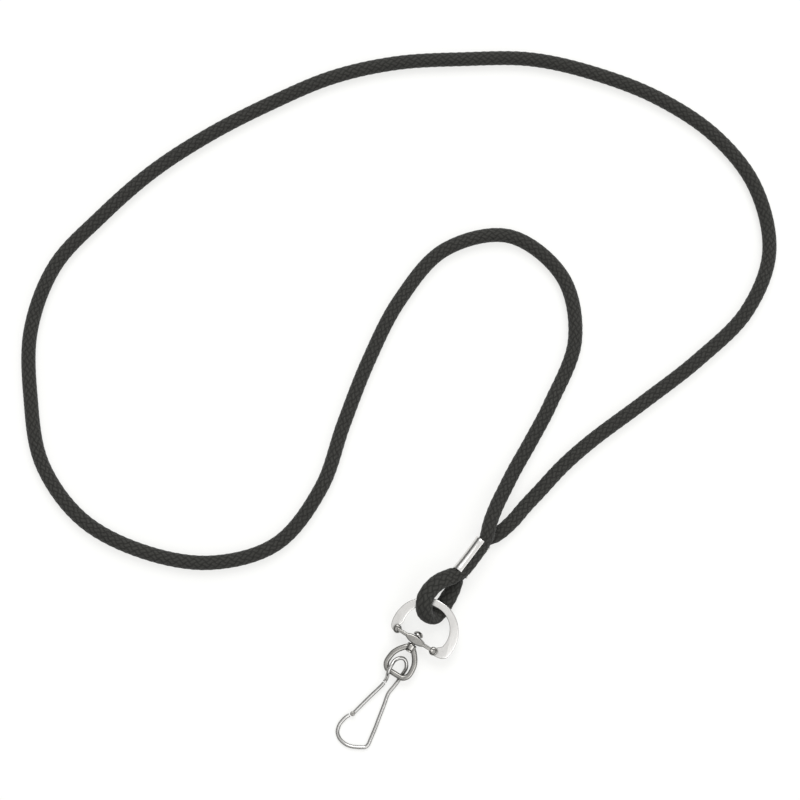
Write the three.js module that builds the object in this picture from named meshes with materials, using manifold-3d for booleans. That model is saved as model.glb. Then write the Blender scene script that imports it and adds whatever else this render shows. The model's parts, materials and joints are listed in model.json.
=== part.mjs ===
// A badge lanyard: a loop of round braided cord held by an open-seam crimp, whose short bight
// carries a D-ring, a rivet swivel, a link and a spring-wire snap hook with a gate.
//
// Millimetres, +Z up. The lanyard lies on the plane z = 0 with its hardware along Y: the hook
// points to -Y and the neck loop leaves the crimp towards +Y. The pieces are built around the
// middle of the D-ring's crossbar, and the whole is then moved so that the origin is at the
// bottom centre of the hardware.

import * as THREE from 'three';
import { mergeVertices } from 'three/addons/utils/BufferGeometryUtils.js';
import Module from 'manifold-3d';

const wasm = await Module();
wasm.setup();

// ---- Driving dimensions ----------------------------------------------------------------------

const RUNNING_GAP = 0.3; // between pieces that move on each other or meet face to face
const FIT_GAP = 0.2; // around what is squeezed or riveted in place
const STRAIGHT_LEAD = 1.2; // the cord leaves the crimp straight for this long
const LIFT = 0.05; // of the free cord and the hook over the plane they lie on

const cord = {
  diameter: 4.5,
  sides: 10,
  steps: 80,
  bightSides: 12,
  bightSteps: 36,
  bightOver: 0.65, // more than a running gap over the ring's band
  bightSlack: 1.4, // between the bight's foot and the band's inner edge
};

const crimp = {
  width: 5.2,
  height: 9.2,
  length: 11.7,
  wall: 0.5,
  cornerRadius: 2.0,
  seamStart: 0.25, // from the sleeve's middle towards +X
  seamDepth: 2.8, // from the sleeve's top
  x: 1.4, // middle of the sleeve, from the crossbar's middle
  y: 30.0,
  lean: 0.095, // radians from +Y towards +X
};

const ring = {
  halfWidth: 10.3,
  innerHalfWidth: 7.1,
  bandX: 1.05, // the band's middle stands off the crossbar's
  topOuter: 13.9, // from the crossbar's middle
  bandAtTop: 2.3,
  thickness: 1.1,
  arcCentre: 3.4,
  innerArcCentre: 4.4,
  arcEnd: -15, // degrees, where the band's sides turn in to the corners
  earTuck: 0.7, // how far the band's lower corners round inwards
  cornerX: 6.35,
  cornerRadius: 1.3,
  cornerHeight: 3.0,
  barThickness: 1.1,
  barHeight: 3.4,
  hubHalfLength: 3.3,
  hubHalfThickness: 1.25,
};

const rivet = {
  shankRadius: 0.7,
  headRadius: 1.55,
  headHeight: 1.35,
  tailRadius: 1.25,
  tailThickness: 0.5,
  segments: 24,
};

const link = {
  thickness: 1.7,
  bevel: 0.45,
  apexHalfWidth: 1.3,
  apexDepth: 1.9, // along the rivet
  bossRadius: 1.5,
  halfWidth: 4.8,
  widestBelowTop: 6.1,
  length: 11.2,
  bottomHalfWidth: 4.4,
  leg: 1.7,
};

const hook = {
  wire: 1.2,
  sides: 10,
  steps: 110,
  eyeHalfWidth: 2.0,
  eyeBelowTop: 3.25, // from the top of the link's opening to the top of the eye
  neckY: -15.2,
  gateRootY: -15.8,
  neckLeftX: -1.3,
  neckRightX: 1.8,
  waistX: 1.5,
  waistY: -17.8,
  cornerX: 4.4,
  cornerY: -34.7,
  bottomY: -37.3,
  catchX: -4.4,
  catchY: -28.6,
};

const gate = {
  wire: 1.2,
  catchRadius: 0.75,
  catchHeight: 1.9,
  rise: 1.1, // of its root over the plane of the hook
};

// ---- Materials -------------------------------------------------------------------------------

const black = new THREE.MeshStandardMaterial({ color: 0x3b3b38, roughness: 0.9, metalness: 0 });
const nickel = new THREE.MeshStandardMaterial({ color: 0xc9c6c0, roughness: 0.25, metalness: 1 });
const springSteel = new THREE.MeshStandardMaterial({ color: 0xa9a7a2, roughness: 0.3, metalness: 1 });

// ---- Helpers ---------------------------------------------------------------------------------

const degrees = THREE.MathUtils.degToRad;

function toSolid(geometry) {
  const bare = geometry.clone();
  bare.deleteAttribute('normal');
  bare.deleteAttribute('uv');
  const merged = mergeVertices(bare, 1e-4);
  return new wasm.Manifold(new wasm.Mesh({
    numProp: 3,
    vertProperties: merged.attributes.position.array,
    triVerts: new Uint32Array(merged.index.array),
  }));
}

function toGeometry(solid) {
  const mesh = solid.getMesh();
  const geometry = new THREE.BufferGeometry();
  geometry.setAttribute('position', new THREE.BufferAttribute(mesh.vertProperties, 3));
  geometry.setIndex(new THREE.BufferAttribute(mesh.triVerts, 1));
  geometry.computeVertexNormals();
  return geometry;
}

// Joins the first geometry with the added ones, then cuts the others away.
function combine(first, added, cut = []) {
  let solid = toSolid(first);
  for (const geometry of added) solid = solid.add(toSolid(geometry));
  for (const geometry of cut) solid = solid.subtract(toSolid(geometry));
  return toGeometry(solid);
}

function circle(radius, sides) {
  const shape = new THREE.Shape();
  for (let i = 0; i < sides; i++) {
    const angle = (i + 0.5) * 2 * Math.PI / sides;
    const x = radius * Math.cos(angle);
    const y = radius * Math.sin(angle);
    if (i === 0) shape.moveTo(x, y);
    else shape.lineTo(x, y);
  }
  return shape;
}

// A round bar along a smooth curve through the points.
function rodThrough(points, radius, sides, steps) {
  const path = new THREE.CatmullRomCurve3(points.map((p) => new THREE.Vector3(...p)), false, 'centripetal');
  path.arcLengthDivisions = 4000;
  return new THREE.ExtrudeGeometry(circle(radius, sides), { steps, extrudePath: path });
}

// A cylinder whose axis is Y, between two heights.
function pin(radius, y0, y1, segments) {
  return new THREE.CylinderGeometry(radius, radius, y1 - y0, segments).translate(0, (y0 + y1) / 2, 0);
}

// A cylinder whose axis is Z, centred on z.
function post(radius, height, x, y, z, segments) {
  return new THREE.CylinderGeometry(radius, radius, height, segments)
    .rotateX(Math.PI / 2)
    .translate(x, y, z);
}

function roundedRectangle(width, height, radius) {
  const right = width / 2;
  const shape = new THREE.Shape();
  shape.moveTo(radius - right, 0);
  shape.lineTo(right - radius, 0);
  shape.absarc(right - radius, radius, radius, -Math.PI / 2, 0, false);
  shape.lineTo(right, height - radius);
  shape.absarc(right - radius, height - radius, radius, 0, Math.PI / 2, false);
  shape.lineTo(radius - right, height);
  shape.absarc(radius - right, height - radius, radius, Math.PI / 2, Math.PI, false);
  shape.lineTo(-right, radius);
  shape.absarc(radius - right, radius, radius, Math.PI, 1.5 * Math.PI, false);
  return shape;
}

// Runs a section drawn in X and Z along Y, from y0 up to y1.
function alongY(shape, y0, y1) {
  return new THREE.ExtrudeGeometry(shape, { depth: y1 - y0, bevelEnabled: false, curveSegments: 6 })
    .rotateX(Math.PI / 2)
    .translate(0, y1, 0);
}

function part(name, geometry, material) {
  const mesh = new THREE.Mesh(geometry, material);
  mesh.name = name;
  return mesh;
}

// ---- Levels and angles that follow from the sizes --------------------------------------------

const cordRadius = cord.diameter / 2;
const wireRadius = hook.wire / 2;
const lowStrandZ = cordRadius + LIFT;
const highStrandZ = lowStrandZ + cord.diameter + 0.15;

const linkTop = -(ring.hubHalfThickness + RUNNING_GAP);
const linkInnerTop = linkTop - link.apexDepth;
const linkBottom = linkTop - link.length;
const linkBar = linkBottom + link.leg / 2;

// The ring's top lies on the lower strand and the link's bar on the hook's wire, which tips the
// ring and the link together about X.
const ringRest = ring.topOuter - ring.bandAtTop;
const strandTop = lowStrandZ + cordRadius + RUNNING_GAP + ring.thickness / 2;
const wireTop = LIFT + hook.wire + RUNNING_GAP + link.thickness / 2;
const tilt = Math.asin((strandTop - wireTop) / (ringRest - linkBar));
const hubZ = wireTop - linkBar * Math.sin(tilt);

const crimpDirection = new THREE.Vector3(Math.sin(crimp.lean), Math.cos(crimp.lean), 0);
const crimpMiddle = new THREE.Vector3(crimp.x, crimp.y, 0);
const crimpEnd = (side, gap) => crimpMiddle.clone()
  .addScaledVector(crimpDirection, side * (crimp.length / 2 + gap));

// ---- Cord ------------------------------------------------------------------------------------

// The neck loop, from the crimp's top end along the low strand, round and back to the high one.
function neckCord() {
  const end = crimpEnd(1, RUNNING_GAP);
  const lead = crimpEnd(1, RUNNING_GAP + STRAIGHT_LEAD);
  const low = lowStrandZ;
  const flat = [
    [4.1, 40.2], [6, 46], [7, 52.3], [8.3, 58.8], [10.3, 69], [13.6, 80], [21.3, 99.7],
    [28.7, 119.8], [33.7, 141],
    [30.2, 161], [15.8, 177], [-3, 184.7], [-24.5, 186], [-46, 182.4], [-66, 175.6],
    [-84.7, 164], [-102, 151.6], [-116.5, 137], [-128.7, 119], [-139.5, 100], [-148, 80.5],
    [-153.6, 60], [-157, 39], [-152, 18], [-140, 0], [-125.7, -15], [-106, -22.8],
    [-85, -21.3], [-65, -13], [-51.3, 2.4], [-49, 24], [-53.7, 44.4], [-57.8, 65.3],
    [-59.8, 86.7], [-56.4, 108], [-41.5, 122.4], [-20.6, 120], [-7, 105], [-3, 84],
  ];
  const rising = [[-2, 70, 2.4], [-1.6, 60, 3], [-1, 53, 4.4], [-0.4, 47.2, 5.6], [0.7, 41.6, 6.7]];
  const points = [
    [end.x, end.y, low],
    [lead.x, lead.y, low],
    ...flat.map(([x, y]) => [x, y, low]),
    ...rising,
    [lead.x, lead.y, highStrandZ],
    [end.x, end.y, highStrandZ],
  ];
  return rodThrough(points, cordRadius, cord.sides, cord.steps);
}

// The cord inside the crimp, and the short bight below it that holds the ring.
function cordBight() {
  const end = crimpEnd(-1, RUNNING_GAP);
  const lead = crimpEnd(-1, RUNNING_GAP + STRAIGHT_LEAD);
  const bandTop = hubZ + (ring.topOuter + ringRest) / 2 * Math.sin(tilt) + ring.thickness / 2;
  const over = bandTop + RUNNING_GAP + cordRadius + cord.bightOver;
  const foot = ringRest * Math.cos(tilt) - cordRadius - cord.bightSlack;
  const points = [
    [end.x, end.y, highStrandZ],
    [lead.x, lead.y, highStrandZ],
    [-0.6, 21.2, highStrandZ + 0.25], [-2.6, 19, over - 1], [-3.8, 16, over - 0.2],
    [-4.1, 12.9, over], [-3.5, foot + 2.6, over - 0.2], [-1.3, foot, (over + lowStrandZ) / 2 + 0.6],
    [1, foot + 1, lowStrandZ + 0.8], [1.6, foot + 3.5, lowStrandZ], [1.7, 15, lowStrandZ],
    [1.6, 18.5, lowStrandZ], [1.2, 21.2, lowStrandZ],
    [lead.x, lead.y, lowStrandZ],
    [end.x, end.y, lowStrandZ],
  ];
  const bight = rodThrough(points, cordRadius, cord.bightSides, cord.bightSteps);
  const inset = crimp.wall + FIT_GAP;
  const plug = alongY(
    roundedRectangle(crimp.width - 2 * inset, crimp.height - 2 * inset, crimp.cornerRadius - inset),
    -crimp.length / 2 - 2 * RUNNING_GAP,
    crimp.length / 2,
  ).translate(0, 0, inset);
  return combine(bight, [inCrimp(plug)]);
}

// ---- Crimp -----------------------------------------------------------------------------------

// From the sleeve's own frame, with its axis along Y, to its leaning place.
function inCrimp(geometry) {
  return geometry.rotateZ(-crimp.lean).translate(crimp.x, crimp.y, 0);
}

function crimpSleeve() {
  const outline = roundedRectangle(crimp.width, crimp.height, crimp.cornerRadius);
  const bore = roundedRectangle(
    crimp.width - 2 * crimp.wall,
    crimp.height - 2 * crimp.wall,
    crimp.cornerRadius - crimp.wall,
  );
  const half = crimp.length / 2;
  const over = 1;
  const cutWidth = crimp.width / 2 - crimp.seamStart + over;
  const cutHeight = crimp.seamDepth + over;
  const seam = new THREE.BoxGeometry(cutWidth, crimp.length + 2 * over, cutHeight).translate(
    crimp.seamStart + cutWidth / 2,
    0,
    crimp.height - crimp.seamDepth + cutHeight / 2,
  );
  const hollow = alongY(bore, -half - over, half + over).translate(0, 0, crimp.wall);
  return inCrimp(combine(alongY(outline, -half, half), [], [hollow, seam]));
}

// ---- D-ring, rivet and link, in the tipped frame of the swivel -------------------------------

function dRing() {
  const { cornerX, cornerRadius, thickness } = ring;
  const start = degrees(ring.arcEnd);
  const end = Math.PI - start;
  const outline = new THREE.Shape();
  const rise = ring.topOuter - ring.arcCentre;
  const endX = ring.halfWidth * Math.cos(start);
  const endY = ring.arcCentre + rise * Math.sin(start);
  outline.moveTo(cornerX, -cornerRadius);
  outline.quadraticCurveTo(ring.bandX + endX - ring.earTuck, -cornerRadius, ring.bandX + endX, endY);
  outline.absellipse(ring.bandX, ring.arcCentre, ring.halfWidth, rise, start, end);
  outline.quadraticCurveTo(ring.bandX - endX + ring.earTuck, -cornerRadius, -cornerX, -cornerRadius);
  outline.lineTo(-cornerX, cornerRadius);
  outline.absellipse(
    ring.bandX, ring.innerArcCentre, ring.innerHalfWidth, ringRest - ring.innerArcCentre, end, start, true,
  );
  outline.lineTo(cornerX, cornerRadius);
  const band = new THREE.ExtrudeGeometry(outline, {
    depth: thickness, bevelEnabled: false, curveSegments: 30,
  }).translate(0, 0, -thickness / 2);
  const bar = new THREE.BoxGeometry(2 * cornerX, ring.barThickness, ring.barHeight);
  const hub = post(1, ring.barHeight, 0, 0, 0, 24)
    .scale(ring.hubHalfLength, ring.hubHalfThickness, 1);
  const corners = [-cornerX, cornerX].map((x) => post(cornerRadius, ring.cornerHeight, x, 0, 0, 16));
  const over = ring.hubHalfThickness + 1;
  const hole = pin(rivet.shankRadius + FIT_GAP, -over, over, rivet.segments);
  return combine(band, [bar, hub, ...corners], [hole]);
}

function swivelRivet() {
  const headBottom = ring.hubHalfThickness + FIT_GAP;
  const tailTop = linkInnerTop - FIT_GAP;
  const tailBottom = tailTop - rivet.tailThickness;
  const profile = [
    new THREE.Vector2(0, tailBottom),
    new THREE.Vector2(rivet.tailRadius, tailBottom),
    new THREE.Vector2(rivet.tailRadius, tailTop),
    new THREE.Vector2(rivet.shankRadius, tailTop),
    new THREE.Vector2(rivet.shankRadius, headBottom),
  ];
  const domeSteps = 6;
  for (let i = 0; i < domeSteps; i++) {
    const angle = i / domeSteps * Math.PI / 2;
    profile.push(new THREE.Vector2(
      rivet.headRadius * Math.cos(angle),
      headBottom + rivet.headHeight * Math.sin(angle),
    ));
  }
  profile.push(new THREE.Vector2(0, headBottom + rivet.headHeight));
  return new THREE.LatheGeometry(profile, rivet.segments);
}

// One closed pear outline, from its apex down the right side and up the left.
function pear(target, top, topHalf, widest, half, bottom, bottomHalf) {
  const flatHalf = bottomHalf * 0.6;
  const rise = (top - widest) * 0.5;
  const fall = widest - bottom;
  target.moveTo(topHalf, top);
  target.bezierCurveTo(topHalf + 0.6, top - rise, half, widest + rise, half, widest);
  target.bezierCurveTo(half, widest - fall * 0.6, bottomHalf, bottom, flatHalf, bottom);
  target.lineTo(-flatHalf, bottom);
  target.bezierCurveTo(-bottomHalf, bottom, -half, widest - fall * 0.6, -half, widest);
  target.bezierCurveTo(-half, widest + rise, -topHalf - 0.6, top - rise, -topHalf, top);
  return target;
}

function swivelLink() {
  const { bevel, leg, thickness } = link;
  const widest = linkTop - link.widestBelowTop;
  const outline = pear(
    new THREE.Shape(), linkTop - bevel, link.apexHalfWidth - bevel,
    widest, link.halfWidth - bevel, linkBottom + bevel, link.bottomHalfWidth,
  );
  const opening = pear(
    new THREE.Shape(), linkInnerTop, 0.3,
    widest, link.halfWidth - leg, linkBottom + leg, link.bottomHalfWidth - 0.6 * leg,
  );
  const plate = new THREE.ExtrudeGeometry(outline, {
    depth: thickness - 2 * bevel,
    bevelThickness: bevel,
    bevelSize: bevel,
    bevelSegments: 2,
    curveSegments: 10,
  }).translate(0, 0, bevel - thickness / 2);
  const window = new THREE.ExtrudeGeometry(opening, {
    depth: 2 * thickness, bevelEnabled: false, curveSegments: 10,
  }).translate(0, 0, -thickness);
  const boss = pin(link.bossRadius, linkInnerTop, linkTop, rivet.segments);
  const hole = pin(rivet.shankRadius + FIT_GAP, linkInnerTop - 3, linkTop + 1, rivet.segments);
  const tailRoom = pin(rivet.tailRadius + FIT_GAP, linkInnerTop - 1, linkInnerTop, rivet.segments);
  return combine(plate, [boss], [window, hole, tailRoom]);
}

// ---- Snap hook and gate ----------------------------------------------------------------------

const barY = linkBar * Math.cos(tilt);
const barZ = hubZ + linkBar * Math.sin(tilt);
const eyeClear = link.thickness / 2 + RUNNING_GAP + wireRadius;

// The wire starts at the gate's root, passes over the link's bar, arches round inside the link,
// comes back under the bar and runs down the spine, round the hook's bottom and up to its tip.
function snapHook() {
  const { eyeHalfWidth, catchX, catchY, cornerX, cornerY, bottomY } = hook;
  const over = barZ + eyeClear + 0.15;
  const flat = LIFT + wireRadius;
  const reach = linkInnerTop - hook.eyeBelowTop - linkBar;
  const top = barY + reach;
  const tip = catchDirection().multiplyScalar(gate.catchRadius + RUNNING_GAP);
  const points = [
    [hook.neckLeftX, hook.gateRootY + RUNNING_GAP, flat + gate.rise],
    [hook.neckLeftX, hook.gateRootY + RUNNING_GAP + 0.8, flat + gate.rise + 0.1],
    [-1.4, barY - 2.1, over - 1.5],
    [-1.7, barY - 1.2, over - 0.5],
    [-eyeHalfWidth, barY, over],
    [-eyeHalfWidth - 0.1, top - 0.65 * reach, over],
    [-eyeHalfWidth, top - 0.35 * reach, over - 0.5],
    [-1, top - 0.08 * reach, over - 1],
    [0, top, over - 1.4],
    [1, top - 0.08 * reach, over - 1.8],
    [eyeHalfWidth, top - 0.35 * reach, flat + 1.2],
    [eyeHalfWidth + 0.1, top - 0.69 * reach, flat + 0.3],
    [eyeHalfWidth, barY, flat],
    [eyeHalfWidth, barY - 1.6, flat],
    [hook.neckRightX, hook.neckY, flat],
    [hook.waistX, hook.waistY, flat],
    [2.2, -21.3, flat], [2.9, -25, flat], [3.6, -28.6, flat], [4.15, -32, flat],
    [cornerX, cornerY + 0.8, flat],
    [cornerX - 0.3, cornerY - 0.2, flat],
    [2.7, -35.9, flat], [0.7, -36.9, flat],
    [-0.7, bottomY, flat], [-2.3, bottomY, flat], [-4, -36.8, flat],
    [-5.4, -35.6, flat], [-6.05, -33.6, flat], [-5.95, -32, flat], [-5.55, -30.4, flat],
    [catchX - tip.x, catchY - tip.y, flat],
  ];
  return rodThrough(points, wireRadius, hook.sides, hook.steps);
}

// From the hook's tip towards the gate's catch.
function catchDirection() {
  return new THREE.Vector2(0.59, 0.81).normalize();
}

// The gate is the wire's other end: a straight arm with a round catch that meets the tip.
function hookGate() {
  const { neckLeftX, gateRootY, catchX, catchY } = hook;
  const { rise, catchHeight } = gate;
  const flat = LIFT + wireRadius;
  const arm = rodThrough([
    [neckLeftX, gateRootY, flat + rise],
    [neckLeftX - 0.1, gateRootY - 0.8, flat + rise * 0.9],
    [(neckLeftX + catchX) / 2, (gateRootY + catchY) / 2, flat + rise * 0.35],
    [catchX + 0.1, catchY + 0.3, flat],
  ], gate.wire / 2, hook.sides, 14);
  const knob = post(gate.catchRadius, catchHeight, catchX, catchY, LIFT + catchHeight / 2, 16);
  return combine(arm, [knob]);
}

// ---- Assembly --------------------------------------------------------------------------------

const swivel = new THREE.Group();
swivel.position.z = hubZ;
swivel.rotation.x = tilt;
swivel.add(part('d_ring', dRing(), nickel));
swivel.add(part('swivel_rivet', swivelRivet(), nickel));
swivel.add(part('swivel_link', swivelLink(), nickel));

const hardware = new THREE.Group();
hardware.add(swivel);
hardware.add(part('crimp_sleeve', crimpSleeve(), nickel));
hardware.add(part('cord_bight', cordBight(), black));
hardware.add(part('snap_hook', snapHook(), springSteel));
hardware.add(part('hook_gate', hookGate(), springSteel));

const lanyard = new THREE.Group();
lanyard.add(hardware);
lanyard.add(part('neck_cord', neckCord(), black));

const box = new THREE.Box3().setFromObject(hardware, true);
const middle = box.getCenter(new THREE.Vector3());
lanyard.position.set(-middle.x, -middle.y, 0);

export default lanyard;
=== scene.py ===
"""Looks for a cord neck lanyard with a crimp, D-ring, rivet swivel, link and spring-wire snap hook.

Each sub-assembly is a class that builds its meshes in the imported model's frame and dresses them.
Sizes are in millimetres and become metres where a mesh is made.
"""

from __future__ import annotations

import json
import logging
import math
from collections.abc import Callable, Sequence
from dataclasses import dataclass
from enum import Enum

import bpy
import numpy as np
from mathutils import Matrix, Vector

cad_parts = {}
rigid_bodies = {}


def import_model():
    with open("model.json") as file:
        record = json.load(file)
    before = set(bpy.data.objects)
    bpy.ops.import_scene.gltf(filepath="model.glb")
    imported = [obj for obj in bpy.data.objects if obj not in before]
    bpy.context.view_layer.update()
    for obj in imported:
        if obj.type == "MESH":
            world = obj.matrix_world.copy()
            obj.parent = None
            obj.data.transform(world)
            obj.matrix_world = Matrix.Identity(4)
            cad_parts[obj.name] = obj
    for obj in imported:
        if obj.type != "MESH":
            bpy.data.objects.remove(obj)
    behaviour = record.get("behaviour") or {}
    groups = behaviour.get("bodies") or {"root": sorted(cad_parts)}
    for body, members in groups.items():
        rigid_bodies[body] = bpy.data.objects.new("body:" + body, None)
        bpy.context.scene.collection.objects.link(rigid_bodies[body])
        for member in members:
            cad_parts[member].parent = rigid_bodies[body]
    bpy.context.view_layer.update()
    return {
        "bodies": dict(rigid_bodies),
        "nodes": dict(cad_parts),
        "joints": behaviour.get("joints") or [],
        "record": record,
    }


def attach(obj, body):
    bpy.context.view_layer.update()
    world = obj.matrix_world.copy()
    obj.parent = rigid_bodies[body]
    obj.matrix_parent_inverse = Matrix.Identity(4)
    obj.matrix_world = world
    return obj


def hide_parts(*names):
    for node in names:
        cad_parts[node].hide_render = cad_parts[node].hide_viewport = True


log = logging.getLogger("lanyard")

MM = 0.001
SHARP = 0.9  # radians between two faces, past which their edge is rounded
Point = tuple[float, float, float]


class Body(str, Enum):
    """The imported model's bodies that the pieces ride on."""

    CORD = "cord"
    RING = "ring"
    SWIVEL = "swivel"
    HOOK = "hook"
    GATE = "gate"


class Slot(str, Enum):
    """The record's material slots."""

    CORD = "cord_black"
    NICKEL = "nickel_plate"
    WIRE = "spring_wire"


# ---- Shader writing ----------------------------------------------------------------------------


class Value:
    """A number socket of a shader tree that can be used in Python expressions."""

    def __init__(self, tree: "Shader", socket: bpy.types.NodeSocket) -> None:
        """Wraps an output socket that holds a number."""
        self.tree = tree
        self.socket = socket

    def _math(self, operation: str, *terms: "Value | float") -> "Value":
        """Adds a Math node on the given terms and returns its output."""
        made = self.tree.node("ShaderNodeMath", {"operation": operation}, dict(enumerate(terms)))
        return Value(self.tree, made.outputs[0])

    def __add__(self, other: "Value | float") -> "Value":
        """Returns self + other."""
        return self._math("ADD", self, other)

    def __sub__(self, other: "Value | float") -> "Value":
        """Returns self - other."""
        return self._math("SUBTRACT", self, other)

    def __rsub__(self, other: float) -> "Value":
        """Returns other - self."""
        return self._math("SUBTRACT", other, self)

    def __mul__(self, other: "Value | float") -> "Value":
        """Returns self * other."""
        return self._math("MULTIPLY", self, other)

    __radd__ = __add__
    __rmul__ = __mul__

    def power(self, exponent: float) -> "Value":
        """Returns self raised to a power."""
        return self._math("POWER", self, exponent)

    def sine(self) -> "Value":
        """Returns the sine of self, in radians."""
        return self._math("SINE", self)

    def magnitude(self) -> "Value":
        """Returns the absolute value of self."""
        return self._math("ABSOLUTE", self)

    def highest(self, other: "Value | float") -> "Value":
        """Returns the larger of self and other."""
        return self._math("MAXIMUM", self, other)

    def clamped(self) -> "Value":
        """Returns self held between 0 and 1."""
        return self._math("MINIMUM", self._math("MAXIMUM", self, 0.0), 1.0)

    def between(self, low: float, high: float) -> "Value":
        """Returns self mapped from 0..1 to low..high."""
        return self * (high - low) + low


class Shader:
    """The node tree of a material or of the world, and the node that it ends in."""

    def __init__(self, owner: bpy.types.ID, output: str = "ShaderNodeOutputMaterial") -> None:
        """Empties the owner's node tree.

        Args:
            owner: A new material or world.
            output: The type name of its output node.
        """
        self.owner = owner
        owner.use_nodes = True
        self.nodes = owner.node_tree.nodes
        self.links = owner.node_tree.links
        self.nodes.clear()
        self.output = self.nodes.new(output)

    def node(
        self, kind: str, settings: dict | None = None, values: dict | None = None
    ) -> bpy.types.Node:
        """Adds a node.

        Args:
            kind: The node's type name.
            settings: Attributes that are set before its sockets; a list under "stops" fills a ramp.
            values: Socket name or number to a value, a socket or a Value.

        Returns:
            The new node.
        """
        made = self.nodes.new(kind)
        for key, setting in (settings or {}).items():
            if key == "stops":
                self._fill_ramp(made, setting)
            else:
                setattr(made, key, setting)
        for key, value in (values or {}).items():
            self._feed(made.inputs[key], value)
        return made

    def _fill_ramp(self, ramp: bpy.types.Node, stops: Sequence[tuple[float, tuple]]) -> None:
        """Gives a colour ramp its stops."""
        elements = ramp.color_ramp.elements
        while len(elements) < len(stops):
            elements.new(0.5)
        for element, (position, colour) in zip(elements, stops):
            element.position = position
            element.color = (*colour, 1.0)

    def _feed(self, socket: bpy.types.NodeSocket, value: object) -> None:
        """Links or sets one input socket."""
        if isinstance(value, Value):
            self.links.new(value.socket, socket)
        elif isinstance(value, bpy.types.NodeSocket):
            self.links.new(value, socket)
        elif isinstance(value, tuple) and len(value) == 3 and socket.type == "RGBA":
            socket.default_value = (*value, 1.0)
        else:
            socket.default_value = value

    def object_position(self) -> bpy.types.NodeSocket:
        """Returns the Object coordinates socket."""
        return self.node("ShaderNodeTexCoord").outputs["Object"]

    def noise(self, vector: bpy.types.NodeSocket, scale: float, detail: float = 3.0) -> Value:
        """Returns a noise between 0 and 1 at the coordinates, with detail octaves."""
        values = {"Vector": vector, "Scale": scale, "Detail": detail}
        return Value(self, self.node("ShaderNodeTexNoise", {}, values).outputs["Fac"])

    def stretched(self, vector: bpy.types.NodeSocket, scale: Point) -> bpy.types.NodeSocket:
        """Returns the coordinates scaled along each axis."""
        made = self.node("ShaderNodeMapping", {}, {"Vector": vector, "Scale": scale})
        return made.outputs["Vector"]

    def mix(self, factor: object, first: object, second: object) -> bpy.types.NodeSocket:
        """Returns the first colour where the factor is 0, and the second where it is 1."""
        made = self.node("ShaderNodeMix", {"data_type": "RGBA"}, {0: factor, 6: first, 7: second})
        return made.outputs[2]

    def bump(self, height: Value, distance: float, strength: float) -> bpy.types.NodeSocket:
        """Returns a normal bumped by a height that is distance deep in metres at 1."""
        values = {"Height": height, "Distance": distance, "Strength": strength}
        return self.node("ShaderNodeBump", {}, values).outputs["Normal"]

    def finish(self, **sockets: object) -> bpy.types.Material:
        """Ends the tree in a Principled BSDF; its sockets are named with _ for a space."""
        values = {key.replace("_", " "): value for key, value in sockets.items()}
        return self.close(self.node("ShaderNodeBsdfPrincipled", {}, values))

    def close(self, last: bpy.types.Node) -> bpy.types.ID:
        """Links the last node to the output, and returns the tree's owner."""
        self.links.new(last.outputs[0], self.output.inputs["Surface"])
        return self.owner


# ---- Finishes ----------------------------------------------------------------------------------


@dataclass(frozen=True)
class BraidFinish:
    """Black braided polyester: fine parallel filaments in each yarn, with painted shade between the
    yarns and a painted highlight on their crowns.

    It reads the UV map that BraidedCord writes: U counts yarns round the cord, V counts picks
    along it.
    """

    name: str = "cord_braid"
    yarn: Point = (0.030, 0.030, 0.027)
    highlight: Point = (0.062, 0.061, 0.056)
    crevice_shade: Point = (0.009, 0.009, 0.008)
    filaments: float = 5.0
    dust_scale: float = 900.0
    glint_patch_scale: float = 55.0
    depth: float = 0.00012
    roughness: float = 0.86
    sheen: float = 0.12

    def build(self) -> bpy.types.Material:
        """Returns the material."""
        shader = Shader(bpy.data.materials.new(self.name))
        uv = shader.node("ShaderNodeUVMap", {"uv_map": "braid"}).outputs["UV"]
        parts = shader.node("ShaderNodeSeparateXYZ", {}, {0: uv})
        around, along = Value(shader, parts.outputs[0]), Value(shader, parts.outputs[1])
        right, left = around + along, around - along
        right_wave, left_wave = (right * math.pi).sine(), (left * math.pi).sine()
        over = (right_wave * left_wave * 6.0 + 0.5).clamped()
        under = 1.0 - over
        crown = right_wave.magnitude() * over + left_wave.magnitude() * under
        fine = math.pi * self.filaments
        strands = (left * fine).sine().magnitude() * over + (right * fine).sine().magnitude() * under
        place = shader.object_position()
        dust = shader.noise(place, self.dust_scale, 4.0)
        glint_patches = shader.noise(place, self.glint_patch_scale, 2.0)
        # Painted shade: the colour falls to the dark crevice tone where the yarn crowns dip, and
        # dust noise adds random tone.
        lit = (crown.power(1.5) * 0.55 + strands * 0.25 + dust * 0.35 - 0.1).clamped()
        base = shader.mix(lit, self.crevice_shade, self.yarn)
        # Painted highlight: the highlight colour is laid on the filament crowns in noise patches,
        # which are also made less rough.
        glint = ((strands * crown).power(2.0) * glint_patches.between(0.25, 0.9)).clamped()
        colour = shader.mix(glint, base, self.highlight)
        height = crown * 0.6 + strands * 0.4
        return shader.finish(
            Base_Color=colour,
            Roughness=(self.roughness - glint * 0.22),
            Normal=shader.bump(height, self.depth, 0.7),
            Sheen_Weight=self.sheen,
            Sheen_Roughness=0.45,
            Specular_IOR_Level=0.22,
        )


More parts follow.
